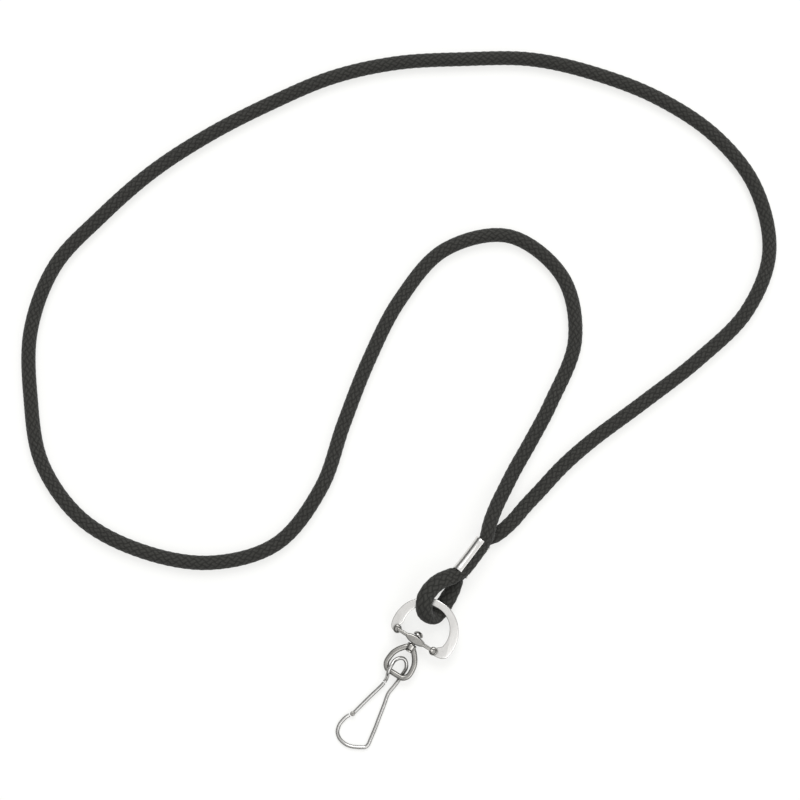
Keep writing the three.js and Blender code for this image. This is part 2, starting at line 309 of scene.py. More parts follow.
@dataclass(frozen=True)
class PlateFinish:
    """Nickel plate with cloudy patches, fine scratches and painted shade where surfaces come close.
    """

    name: str = "nickel"
    bright: Point = (0.72, 0.71, 0.695)
    dull: Point = (0.54, 0.53, 0.515)
    nook_shade: Point = (0.05, 0.048, 0.045)
    polish: float = 0.16
    haze: float = 0.20
    reach: float = 0.0016
    cloud_scale: float = 260.0
    grain_scale: float = 2600.0
    pit_scale: float = 1500.0
    depth: float = 0.00003

    def build(self) -> bpy.types.Material:
        """Returns the material."""
        shader = Shader(bpy.data.materials.new(self.name))
        place = shader.object_position()
        cloud = shader.noise(place, self.cloud_scale, 4.0)
        grain = shader.noise(shader.stretched(place, (1.0, 0.12, 1.0)), self.grain_scale, 2.0)
        pits = shader.noise(place, self.pit_scale, 2.0)
        dirt = (cloud * 1.6 - 0.55).clamped() * 0.7 + (pits * 2.2 - 1.25).clamped() * 0.5
        dirt = dirt.clamped()
        # Painted shade: ambient occlusion pulls the colour towards near-black where surfaces come
        # close.
        nook = shader.node("ShaderNodeAmbientOcclusion", {"samples": 8}, {"Distance": self.reach})
        close = ((1.0 - Value(shader, nook.outputs["AO"])) * 1.7 - 0.25).clamped()
        plate = shader.mix(dirt, self.bright, self.dull)
        return shader.finish(
            Base_Color=shader.mix(close * cloud.between(0.7, 1.1), plate, self.nook_shade),
            Metallic=1.0,
            Roughness=(dirt * self.haze + grain * 0.10 + self.polish - 0.03),
            Normal=shader.bump(cloud * 0.5 + grain * 0.5, self.depth, 0.35),
        )


# ---- Mesh helpers ------------------------------------------------------------------------------


def deselect() -> None:
    """Clears the selection, which the operators act on."""
    for item in bpy.context.view_layer.objects.selected:
        item.select_set(False)


def activate(item: bpy.types.Object) -> bpy.types.Object:
    """Makes an object the only selected and active one.

    Args:
        item: The object.

    Returns:
        The same object.
    """
    deselect()
    item.select_set(True)
    bpy.context.view_layer.objects.active = item
    return item


def enter(mode: str) -> None:
    """Puts the active object in "EDIT" or "OBJECT" mode."""
    bpy.ops.object.mode_set(mode=mode)


def add_object(name: str, data: bpy.types.ID) -> bpy.types.Object:
    """Returns a new object of the data, linked into the scene."""
    item = bpy.data.objects.new(name, data)
    bpy.context.scene.collection.objects.link(item)
    return item


def settle(item: bpy.types.Object) -> bpy.types.Object:
    """Moves an object's place, turn and scale into its mesh.

    Args:
        item: The object.

    Returns:
        The same object, at the origin.
    """
    activate(item)
    bpy.ops.object.transform_apply(location=True, rotation=True, scale=True)
    return item


def apply_modifier(item: bpy.types.Object, kind: str, **settings: object) -> None:
    """Adds a modifier and applies it.

    Args:
        item: The object.
        kind: The modifier's type.
        settings: Its settings.
    """
    activate(item)
    modifier = item.modifiers.new(kind.lower(), kind)
    for key, value in settings.items():
        setattr(modifier, key, value)
    bpy.ops.object.modifier_apply(modifier=modifier.name)


def round_edges(item: bpy.types.Object, radius: float, segments: int) -> None:
    """Rounds an object's sharp edges.

    Args:
        item: The object.
        radius: The rounding's width, in millimetres.
        segments: Its facets.
    """
    settings = {"limit_method": "ANGLE", "angle_limit": SHARP}
    apply_modifier(item, "BEVEL", width=radius * MM, segments=segments, **settings)


def slice_all(place: Sequence[float], normal: Point) -> None:
    """Cuts the whole mesh in edit mode along a plane, and keeps both sides."""
    bpy.ops.mesh.select_all(action="SELECT")
    bpy.ops.mesh.bisect(plane_co=place, plane_no=normal)


def block(size: Sequence[float], place: Point = (0, 0, 0)) -> bpy.types.Object:
    """Makes a box.

    Args:
        size: Its size along each axis, in metres.
        place: Its middle, in metres.

    Returns:
        The box, at the origin.
    """
    deselect()
    bpy.ops.mesh.primitive_cube_add(size=1, location=place)
    item = bpy.context.active_object
    item.scale = size
    return settle(item)


def post(
    vertices: int, radius: float, depth: float, place: Sequence[float], turn: float = 0.0
) -> bpy.types.Object:
    """Makes a closed cylinder along Z, or turned about X.

    Args:
        vertices: Its sides.
        radius: Its radius, in millimetres.
        depth: Its length, in millimetres.
        place: Its middle, in metres.
        turn: Its turn about X, in radians.

    Returns:
        The cylinder, at the origin.
    """
    deselect()
    bpy.ops.mesh.primitive_cylinder_add(
        vertices=vertices, radius=radius * MM, depth=depth * MM, location=place,
        rotation=(turn, 0, 0),
    )
    return settle(bpy.context.active_object)


def smooth(item: bpy.types.Object, angle: float = 35.0) -> None:
    """Shades an object smooth up to an edge angle in degrees."""
    activate(item)
    bpy.ops.object.shade_smooth_by_angle(angle=math.radians(angle))


def face_out(item: bpy.types.Object) -> None:
    """Merges doubles and turns every face outwards."""
    activate(item)
    enter("EDIT")
    bpy.ops.mesh.select_all(action="SELECT")
    bpy.ops.mesh.remove_doubles(threshold=1e-6)
    bpy.ops.mesh.normals_make_consistent(inside=False)
    enter("OBJECT")


def select_where(item: bpy.types.Object, kind: str, test: Callable[[object], bool]) -> None:
    """Enters edit mode with the edges or faces that pass a test selected.

    Args:
        item: The object, in object mode.
        kind: "EDGE" or "FACE".
        test: Takes a mesh edge or a mesh polygon.
    """
    activate(item)
    enter("EDIT")
    bpy.ops.mesh.select_mode(type=kind)
    bpy.ops.mesh.select_all(action="DESELECT")
    enter("OBJECT")
    for part in item.data.edges if kind == "EDGE" else item.data.polygons:
        part.select = test(part)
    enter("EDIT")


def join(first: bpy.types.Object, others: Sequence[bpy.types.Object], name: str) -> bpy.types.Object:
    """Joins objects into the first one.

    Args:
        first: The object that stays.
        others: The objects that go into it.
        name: The name of the result.

    Returns:
        The joined object.
    """
    activate(first)
    for item in others:
        item.select_set(True)
    bpy.ops.object.join()
    first.name = name
    first.data.name = name
    return first


def paint(item: bpy.types.Object, material: bpy.types.Material) -> bpy.types.Object:
    """Gives an object one material.

    Args:
        item: The object.
        material: Its material.

    Returns:
        The same object.
    """
    item.data.materials.clear()
    item.data.materials.append(material)
    return item


def settle_on(item: bpy.types.Object, body: Body) -> None:
    """Gives a painted piece its body.

    Args:
        item: The piece.
        body: The body that it rides on.
    """
    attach(item, body.value)
    log.info("%s: %d faces on %s", item.name, len(item.data.polygons), body.value)


def centripetal(points: Sequence[Point], step: float) -> np.ndarray:
    """Samples a centripetal Catmull-Rom curve through the points at even steps.

    Args:
        points: The points, in millimetres.
        step: The distance between samples.

    Returns:
        An array of places, one row each.
    """
    knots = np.array(points, float)
    knots = np.vstack([2 * knots[0] - knots[1], knots, 2 * knots[-1] - knots[-2]])
    dense = []
    for p0, p1, p2, p3 in zip(knots, knots[1:], knots[2:], knots[3:]):
        t1 = math.sqrt(np.linalg.norm(p1 - p0))
        t2 = t1 + math.sqrt(np.linalg.norm(p2 - p1))
        t3 = t2 + math.sqrt(np.linalg.norm(p3 - p2))
        t = np.linspace(t1, t2, 60, endpoint=False)[:, None]
        a1 = (t1 - t) / t1 * p0 + t / t1 * p1
        a2 = (t2 - t) / (t2 - t1) * p1 + (t - t1) / (t2 - t1) * p2
        a3 = (t3 - t) / (t3 - t2) * p2 + (t - t2) / (t3 - t2) * p3
        b1 = (t2 - t) / t2 * a1 + t / t2 * a2
        b2 = (t3 - t) / (t3 - t1) * a2 + (t - t1) / (t3 - t1) * a3
        dense.append((t2 - t) / (t2 - t1) * b1 + (t - t1) / (t2 - t1) * b2)
    dense = np.vstack([*dense, knots[-2][None]])
    reach = travelled(dense)
    count = max(2, round(reach[-1] / step) + 1)
    even = np.linspace(0, reach[-1], count)
    return np.column_stack([np.interp(even, reach, dense[:, i]) for i in range(3)])


def travelled(path: np.ndarray) -> np.ndarray:
    """Returns how far along a path each of its places is."""
    return np.r_[0, np.cumsum(np.linalg.norm(np.diff(path, axis=0), axis=1))]


def path_frames(
    path: np.ndarray, across: Point | None = None
) -> tuple[np.ndarray, np.ndarray, np.ndarray]:
    """Works out the direction, side and up of each place on a path, with the least twist.

    Args:
        path: The places.
        across: Where the side keeps pointing, for a cord that bends about one axis.

    Returns:
        Three arrays of unit vectors.
    """
    ahead = np.gradient(path, axis=0)
    ahead /= np.linalg.norm(ahead, axis=1)[:, None]
    if across is not None:
        wide = np.array(across)
        side = wide - ahead * (ahead @ wide)[:, None]
        side /= np.linalg.norm(side, axis=1)[:, None]
        return ahead, side, np.cross(side, ahead)
    up = np.zeros_like(path)
    start = np.array([0.0, 0.0, 1.0])
    up[0] = start - ahead[0] * (start @ ahead[0])
    up[0] /= np.linalg.norm(up[0])
    for i in range(1, len(path)):
        carried = up[i - 1] - ahead[i] * (up[i - 1] @ ahead[i])
        up[i] = carried / np.linalg.norm(carried)
    return ahead, np.cross(ahead, up), up


def sweep(
    name: str,
    points: Sequence[Point],
    section: bpy.types.Object | float,
    closed: bool = False,
) -> bpy.types.Object:
    """Sweeps a round wire or a section along a smooth curve and makes it a mesh.

    Args:
        name: The piece's name.
        points: Places on the curve, in millimetres.
        section: The wire's radius in millimetres, or a curve object of the section.
        closed: Whether the curve closes on itself.

    Returns:
        The mesh object.
    """
    curve = bpy.data.curves.new(name, "CURVE")
    curve.dimensions = "3D"
    curve.twist_mode = "Z_UP" if closed else "MINIMUM"
    curve.use_fill_caps = not closed
    spline = curve.splines.new("POLY")
    spline.points.add(len(points) - 1)
    spline.use_cyclic_u = closed
    for point, place in zip(spline.points, points):
        point.co = (*(c * MM for c in place), 1.0)
    if isinstance(section, bpy.types.Object):
        curve.bevel_mode = "OBJECT"
        curve.bevel_object = section
    else:
        curve.bevel_depth = section * MM
        curve.bevel_resolution = 6
    activate(add_object(name, curve))
    bpy.ops.object.convert(target="MESH")
    made = bpy.context.view_layer.objects.active
    made.name = name
    made.data.name = name
    return made


def rounded_section(width: float, height: float, radius: float) -> bpy.types.Object:
    """Makes a rounded rectangle as a closed curve for sweeping.

    Args:
        width: Its width, in millimetres.
        height: Its height.
        radius: Its corner radius.

    Returns:
        The curve object, which the caller removes.
    """
    curve = bpy.data.curves.new("section", "CURVE")
    spline = curve.splines.new("POLY")
    places = []
    for quarter, (sx, sy) in enumerate([(1, 1), (-1, 1), (-1, -1), (1, -1)]):
        for step in range(5):
            angle = (quarter + step / 4) * math.pi / 2
            x = sx * (width / 2 - radius) + radius * math.cos(angle)
            y = sy * (height / 2 - radius) + radius * math.sin(angle)
            places.append((x * MM, y * MM))
    spline.points.add(len(places) - 1)
    for point, (x, y) in zip(spline.points, places):
        point.co = (x, y, 0.0, 1.0)
    spline.use_cyclic_u = True
    return add_object("section", curve)


# ---- Layout ------------------------------------------------------------------------------------


@dataclass(frozen=True)
class Layout:
    """Where the hardware lies in the frame: the crossbar's middle and the tip of its line."""

    hub: Vector
    tilt: float

    @classmethod
    def of(cls, frame: dict) -> "Layout":
        """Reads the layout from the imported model's swivel joint.


        Returns:
            The layout.
        """
        joint = next(j for j in frame["joints"] if j["name"] == "swivel_turn")
        axis = Vector(joint["axis"]).normalized()
        return cls(hub=Vector(joint["pos_m"]) / MM, tilt=math.asin(axis.z))

    def flat(self, places: Sequence[Point]) -> list[Point]:
        """Takes places measured from the crossbar's middle along X and Y, and up from the table."""
        return [(x + self.hub.x, y + self.hub.y, z) for x, y, z in places]

    def tip(self, item: bpy.types.Object) -> bpy.types.Object:
        """Turns and moves a piece that was made round the origin to the crossbar's middle."""
        item.data.transform(Matrix.Rotation(self.tilt, 4, "X"))
        item.data.transform(Matrix.Translation(self.hub * MM))
        return item


# ---- Cord --------------------------------------------------------------------------------------


@dataclass
class BraidedCord:
    """A round braid of interlaced yarns, modelled as a tube with the weave in its surface."""

    diameter: float = 4.5
    carriers: int = 8
    pick: float = 5.2
    around: int = 32
    step: float = 0.46
    relief: float = 0.16

    def tube(
        self,
        name: str,
        path: np.ndarray,
        squeeze: Callable[[np.ndarray], tuple[np.ndarray, np.ndarray]],
        across: Point | None = None,
    ) -> bpy.types.Object:
        """Builds the tube and its UV map.

        Args:
            name: The piece's name.
            path: The centreline, in millimetres.
            squeeze: Takes distances along the path and gives scales across and up.
            across: The direction that it widens in, or none for the least twist.

        Returns:
            The mesh object.
        """
        _, side, up = path_frames(path, across)
        gone = travelled(path)
        broad, high = squeeze(gone)
        turn = np.arange(self.around) / self.around
        u = turn[None, :] * self.carriers
        v = gone[:, None] / self.pick * 2
        height = self._weave(u, v)
        radius = self.diameter / 2 - self.relief * (1 - height)
        angle = turn * 2 * math.pi
        wide = radius * np.cos(angle)[None, :] * broad[:, None]
        tall = radius * np.sin(angle)[None, :] * high[:, None]
        places = path[:, None] + side[:, None] * wide[..., None] + up[:, None] * tall[..., None]
        return self._mesh(name, places, v)

    def _weave(self, u: np.ndarray, v: np.ndarray) -> np.ndarray:
        """Returns the weave's height from 0 to 1 at yarn count u and pick count v."""
        right, left = u + v, u - v
        lift = 0.42 * np.sin(math.pi * right) * np.sin(math.pi * left)
        one = np.abs(np.sin(math.pi * right)) ** 0.7
        two = np.abs(np.sin(math.pi * left)) ** 0.7
        return np.clip(np.maximum(one * 0.6 + lift, two * 0.6 - lift), 0, 1)

    def _mesh(self, name: str, places: np.ndarray, v: np.ndarray) -> bpy.types.Object:
        """Joins rings of places into a closed tube with a braid UV map.

        Args:
            name: The piece's name.
            places: Rings of places, in millimetres.
            v: The pick count of each ring.

        Returns:
            The mesh object.
        """
        rings, count, _ = places.shape
        ring = np.arange(rings - 1)[:, None] * count
        here = np.arange(count)[None, :]
        there = (here + 1) % count
        sides = [ring + here, ring + there, ring + count + there, ring + count + here]
        faces = np.stack(sides, axis=-1).reshape(-1, 4).tolist()
        faces.append(list(range(count))[::-1])
        faces.append(list(range((rings - 1) * count, rings * count)))
        mesh = bpy.data.meshes.new(name)
        mesh.from_pydata((places.reshape(-1, 3) * MM).tolist(), [], faces)
        layer = mesh.uv_layers.new(name="braid")
        share = self.carriers / count
        uv = np.zeros((rings - 1, count, 4, 2))
        uv[..., 0, 0] = uv[..., 3, 0] = np.arange(count) * share
        uv[..., 1, 0] = uv[..., 2, 0] = (np.arange(count) + 1) * share
        uv[..., 0, 1] = uv[..., 1, 1] = v[:-1]
        uv[..., 2, 1] = uv[..., 3, 1] = v[1:]
        caps = np.zeros((2 * count, 2))
        layer.data.foreach_set("uv", np.vstack([uv.reshape(-1, 2), caps]).ravel())
        mesh.update()
        item = add_object(name, mesh)
        face_out(item)
        activate(item)
        bpy.ops.object.shade_smooth()
        return item


@dataclass
class NeckLoop:
    """The free neck loop, from the crimp's top end round and back."""

    layout: Layout
    braid: BraidedCord
    low: float = 2.3
    high: float = 6.95
    inside: float = 2.0
    ease: float = 3.0
    pinch: float = 0.1
    route: tuple[tuple[float, float], ...] = (
        (4.1, 40.2), (6, 46), (7, 52.3), (8.3, 58.8), (10.3, 69), (13.6, 80), (21.3, 99.7),
        (28.7, 119.8), (33.7, 141),
        (30.2, 161), (15.8, 177), (-3, 184.7), (-24.5, 186), (-46, 182.4), (-66, 175.6),
        (-84.7, 164), (-102, 151.6), (-116.5, 137), (-128.7, 119), (-139.5, 100), (-148, 80.5),
        (-153.6, 60), (-157, 39), (-152, 18), (-140, 0), (-125.7, -15), (-106, -22.8),
        (-85, -21.3), (-65, -13), (-51.3, 2.4), (-49, 24), (-53.7, 44.4), (-57.8, 65.3),
        (-59.8, 86.7), (-56.4, 108), (-41.5, 122.4), (-20.6, 120), (-7, 105), (-3, 84),
    )
    rise: tuple[Point, ...] = (
        (-2, 70, 2.4), (-1.6, 60, 3), (-1, 53, 4.4), (-0.4, 47.2, 5.6), (0.7, 41.6, 6.7),
    )

    def path(self, crimp: "CrimpSleeve") -> np.ndarray:
        """Returns the centreline, which starts and ends inside the crimp."""
        half = crimp.length / 2
        into, end, lead = (crimp.on_axis(half + d) for d in (-self.inside, 0.3, 1.5))
        bulge, eased = crimp.on_axis(half - self.inside, 0.45), crimp.on_axis(half + 0.3, 0.2)
        points = [(*into, self.low), (*end, self.low), (*lead, self.low)]
        points += [(x, y, self.low) for x, y in self.route]
        points += [*self.rise, (*lead, self.high), (*eased, self.high), (*bulge, self.high - 0.1)]
        return centripetal(self.layout.flat(points), self.braid.step)

    def build(self, crimp: "CrimpSleeve", material: bpy.types.Material) -> None:
        """Args:
            crimp: The sleeve that it leaves.
            material: Its material.
        """
        path = self.path(crimp)
        total = float(travelled(path)[-1])

        def squeeze(at: np.ndarray) -> tuple[np.ndarray, np.ndarray]:
            """Narrows both ends where the crimp grips them."""
            near = np.minimum(at, total - at) - self.inside
            size = 1 - self.pinch * np.clip(1 - near / self.ease, 0, 1) ** 2
            return size, size

        piece = self.braid.tube("neck_loop", path, squeeze)
        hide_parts("neck_cord")
        settle_on(paint(piece, material), Body.CORD)
        log.info("neck loop: %.0f mm of cord", total)


@dataclass
class Bight:
    """The short loop of the same cord that holds the ring, with its two ends in the crimp."""

    layout: Layout
    braid: BraidedCord
    low: float = 2.3
    high: float = 6.95
    over: float = 9.3
    foot: float = 7.86
    ease_above: float = 1.6
    ease_below: float = 7.5

    def path(self, crimp: "CrimpSleeve") -> np.ndarray:
        """Returns the centreline, from inside the crimp round the ring and back."""
        half = crimp.length / 2
        deep, end, lead = (crimp.on_axis(d) for d in (half - 0.9, -half - 0.3, -half - 1.5))
        bulge, eased = crimp.on_axis(half - 0.9, 0.45), crimp.on_axis(-half + 1.5, 0.45)
        above = crimp.on_axis(-half - 0.5, -0.25)
        low, high, over, foot = self.low, self.high, self.over, self.foot
        points = [(*bulge, high - 0.1), (*eased, high - 0.1), (*above, high)]
        points += [
            (-1.0, 21.4, high + 0.25), (-2.7, 19, over - 1), (-3.8, 16, over - 0.2),
            (-4.1, 12.9, over), (-3.5, foot + 2.6, over - 0.2), (-1.3, foot, (over + low) / 2 + 0.6),
            (1, foot + 1, low + 0.8), (1.6, foot + 3.5, low), (1.7, 15, low), (1.6, 18.5, low),
            (1.2, 21.2, low),
        ]
        points += [(*lead, low), (*end, low), (*deep, low + 0.2)]
        return centripetal(self.layout.flat(points), self.braid.step)

    def build(self, crimp: "CrimpSleeve", material: bpy.types.Material) -> None:
        """Builds and dresses the bight.

        Args:
            crimp: The sleeve that grips it.
            material: Its material.
        """
        path = self.path(crimp)
        total = float(travelled(path)[-1])

        def squeeze(at: np.ndarray) -> tuple[np.ndarray, np.ndarray]:
            """Flattens the stretches inside the crimp and eases them out below it."""
            upper = np.clip(1 - (at - crimp.length) / self.ease_above, 0, 1)
            lower = np.clip(1 - (total - at - crimp.length) / self.ease_below, 0, 1)
            grip = np.maximum(upper, lower)
            return 1.16 - 0.24 * grip, 0.9 - 0.01 * grip

        piece = self.braid.tube("ring_bight", path, squeeze, across=(1.0, 0.0, 0.0))
        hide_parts("cord_bight")
        settle_on(paint(piece, material), Body.CORD)


# ---- Hardware ----------------------------------------------------------------------------------


@dataclass
class CrimpSleeve:
    """A strip of plated sheet pressed round both strands, with its seam left open."""

    layout: Layout
    width: float = 5.2
    height: float = 9.2
    length: float = 11.7
    wall: float = 0.5
    corner: float = 2.0
    seam_start: float = 0.25
    seam_depth: float = 2.8
    x: float = 1.4
    y: float = 30.0
    lean: float = 0.095
    flare: float = 0.035
    waist: float = 0.03

    def on_axis(self, along: float, aside: float = 0.0) -> tuple[float, float]:
        """Returns X and Y a distance along the sleeve's axis from its middle, and aside from it."""
        sine, cosine = math.sin(self.lean), math.cos(self.lean)
        return self.x + along * sine + aside * cosine, self.y + along * cosine - aside * sine

    def build(self, material: bpy.types.Material) -> None:
        """Models a block, rounds its edges, opens its ends and seam, and gives it a wall.

        Args:
            material: Its material.
        """
        half_wall = self.wall / 2
        width, height = (self.width - self.wall) * MM, (self.height - self.wall) * MM
        size, half = (width, self.length * MM, height), self.length * MM / 2
        piece = block(size, (0, 0, height / 2 + half_wall * MM))
        piece.name = piece.data.name = "crimp_shell"

        def runs_along(edge: bpy.types.MeshEdge) -> bool:
            """Tells whether an edge of the block runs along the sleeve."""
            first, last = (piece.data.vertices[i].co.y for i in edge.vertices)
            return abs(first - last) > half

        def in_seam(face: bpy.types.MeshPolygon) -> bool:
            """Tells whether a face is where the seam opens."""
            return face.center.x > seam_x and face.center.z > seam_z

        select_where(piece, "EDGE", runs_along)
        radius = (self.corner - half_wall) * MM
        bpy.ops.mesh.bevel(offset=radius, segments=8, affect="EDGES", offset_type="OFFSET")
        enter("OBJECT")
        select_where(piece, "FACE", lambda face: abs(abs(face.center.y) - half) < 1e-6)
        bpy.ops.mesh.delete(type="FACE")
        for cut in range(1, 10):
            slice_all((0, -half + 2 * half * cut / 10, 0), (0, 1, 0))
        seam_x, seam_z = self.seam_start * MM, (self.height - self.seam_depth) * MM
        slice_all((seam_x, 0, 0), (1, 0, 0))
        slice_all((0, 0, seam_z), (0, 0, 1))
        enter("OBJECT")
        select_where(piece, "FACE", in_seam)
        bpy.ops.mesh.delete(type="FACE")
        enter("OBJECT")
        self._press(piece, half)
        face_out(piece)
        apply_modifier(piece, "SOLIDIFY", thickness=self.wall * MM, offset=0.0, use_even_offset=True)
        round_edges(piece, 0.14, 3)
        piece.data.transform(Matrix.Rotation(-self.lean, 4, "Z"))
        place = self.layout.flat([(self.x, self.y, 0)])[0]
        piece.data.transform(Matrix.Translation(Vector(place) * MM))
        smooth(piece)
        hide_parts("crimp_sleeve")
        settle_on(paint(piece, material), Body.CORD)

    def _press(self, piece: bpy.types.Object, half: float) -> None:
        """Flares the sleeve's two mouths a little and waists its middle, as the press leaves it."""
        middle = self.height * MM / 2
        for vertex in piece.data.vertices:
            share = abs(vertex.co.y) / half
            grow = self.flare * share**4 - self.waist * (1 - share**2)
            vertex.co.x *= 1 + grow
            if vertex.co.z > middle:
                vertex.co.z = middle + (vertex.co.z - middle) * (1 + grow * 0.6)


@dataclass
class DRing:
    """A stamped strip bent to a D, its ends turned on edge to make the crossbar with its hub."""

    layout: Layout
    half_width: float = 10.3
    inner_half_width: float = 7.1
    band_x: float = 1.05
    top: float = 13.9
    band_at_top: float = 2.3
    thickness: float = 1.1
    arc_centre: float = 3.4
    inner_arc_centre: float = 4.4
    arc_end: float = -15.0
    ear_tuck: float = 0.7
    corner_x: float = 6.35
    corner_radius: float = 1.3
    corner_height: float = 3.0
    bar_height: float = 3.4
    bar_thickness: float = 1.1
    hub_half_length: float = 3.3
    hub_half_thickness: float = 1.25
    bar_taper: float = 0.24
    bar_thinning: float = 0.12

    def _outline(self) -> tuple[list[tuple[float, float]], list[tuple[float, float]]]:
        """Returns the band's outer and inner edges from its right ear over the top to its left."""
        start = math.radians(self.arc_end)
        angles = [start + (math.pi - 2 * start) * i / 96 for i in range(97)]

        def arc(half: float, centre: float, top: float) -> list[tuple[float, float]]:
            """Returns the places of one elliptic edge."""
            rise = top - centre
            return [(self.band_x + half * math.cos(a), centre + rise * math.sin(a)) for a in angles]

        outer = arc(self.half_width, self.arc_centre, self.top)
        inner = arc(self.inner_half_width, self.inner_arc_centre, self.top - self.band_at_top)
        return outer, inner

    def _ear(self, side: int, edge: tuple[float, float]) -> list[tuple[float, float]]:
        """Returns the rounded lower edge of one ear, from the corner out to the band's edge.

        Args:
            side: 1 for the right ear and -1 for the left.
            edge: Where the band's outer edge ends.
        """
        start = Vector((side * self.corner_x, -self.corner_radius * 0.9))
        pull = Vector((edge[0] - side * self.ear_tuck, -self.corner_radius))
        end = Vector(edge)
        return [
            tuple(start * (1 - t) ** 2 + pull * 2 * t * (1 - t) + end * t**2)
            for t in (i / 12 for i in range(12))
        ]

    def build(self, bright: bpy.types.Material, reflection_shaded_plate: bpy.types.Material) -> None:
        """Models the band, bar, hub and corners, and dresses the ring.

        Args:
            bright: The material of the flat band.
            reflection_shaded_plate: A darker copy of the plate on the folded crossbar, a painted
                dark reflection.
        """
        folded = [self._bar(), self._hub()]
        folded += [self._corner(x) for x in (-self.corner_x, self.corner_x)]
        # The bar, hub and corners take the darker copy of the plate, a painted dark reflection.
        for part in folded:
            paint(part, reflection_shaded_plate)
        piece = join(paint(self._band(), bright), folded, "swivel_ring")
        self.layout.tip(piece)
        smooth(piece, 40.0)
        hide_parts("d_ring")
        settle_on(piece, Body.RING)

    def _band(self) -> bpy.types.Object:
        """Models the band: fills its outline, thickens it and rolls its stamped edges."""
        outer, inner = self._outline()
        right, left = self._ear(1, outer[0]), self._ear(-1, outer[-1])
        top_of_corner = self.corner_radius * 0.9
        edge = [*right, *outer, *reversed(left), (-self.corner_x, top_of_corner)]
        edge += [*reversed(inner), (self.corner_x, top_of_corner)]
        mesh = bpy.data.meshes.new("band")
        mesh.from_pydata([(x * MM, y * MM, 0.0) for x, y in edge], [], [list(range(len(edge)))])
        band = add_object("band", mesh)
        face_out(band)
        apply_modifier(band, "SOLIDIFY", thickness=self.thickness * MM, offset=0.0)
        round_edges(band, 0.32, 4)
        return band

    def _bar(self) -> bpy.types.Object:
        """Models the crossbar, a strip on edge that waists a little beside the corners."""
        bar = block((2 * self.corner_x * MM, self.bar_thickness * MM, self.bar_height * MM))
        enter("EDIT")
        for cut in range(1, 16):
            slice_all(((cut / 8 - 1) * self.corner_x * MM, 0, 0), (1, 0, 0))
        enter("OBJECT")
        for vertex in bar.data.vertices:
            share = abs(vertex.co.x) / (self.corner_x * MM)
            vertex.co.z *= 1 - self.bar_taper * share**2
            vertex.co.y *= 1 - self.bar_thinning * share
        round_edges(bar, 0.22, 4)
        return bar

    def _hub(self) -> bpy.types.Object:
        """Models the swelling round the rivet's hole."""
        deselect()
        bpy.ops.mesh.primitive_cylinder_add(vertices=64, radius=1, depth=self.bar_height * MM)
        hub = bpy.context.active_object
        hub.scale = (self.hub_half_length * MM, self.hub_half_thickness * MM, 1)
        settle(hub)
        round_edges(hub, 0.45, 5)
        return hub

    def _corner(self, x: float) -> bpy.types.Object:
        """Models one turned corner, where the strip folds on edge: a domed post with a dimple."""
        corner = post(40, self.corner_radius, self.corner_height, (x * MM, 0, 0))
        round_edges(corner, 0.55, 6)
        top = self.corner_height / 2 * MM - 1e-5
        for low in (1, -1):
            select_where(corner, "FACE", lambda face, low=low: face.center.z * low > top)
            bpy.ops.mesh.inset(thickness=0.18 * MM)
            bpy.ops.transform.translate(value=(0, 0, -0.3 * MM * low))
            enter("OBJECT")
        return corner


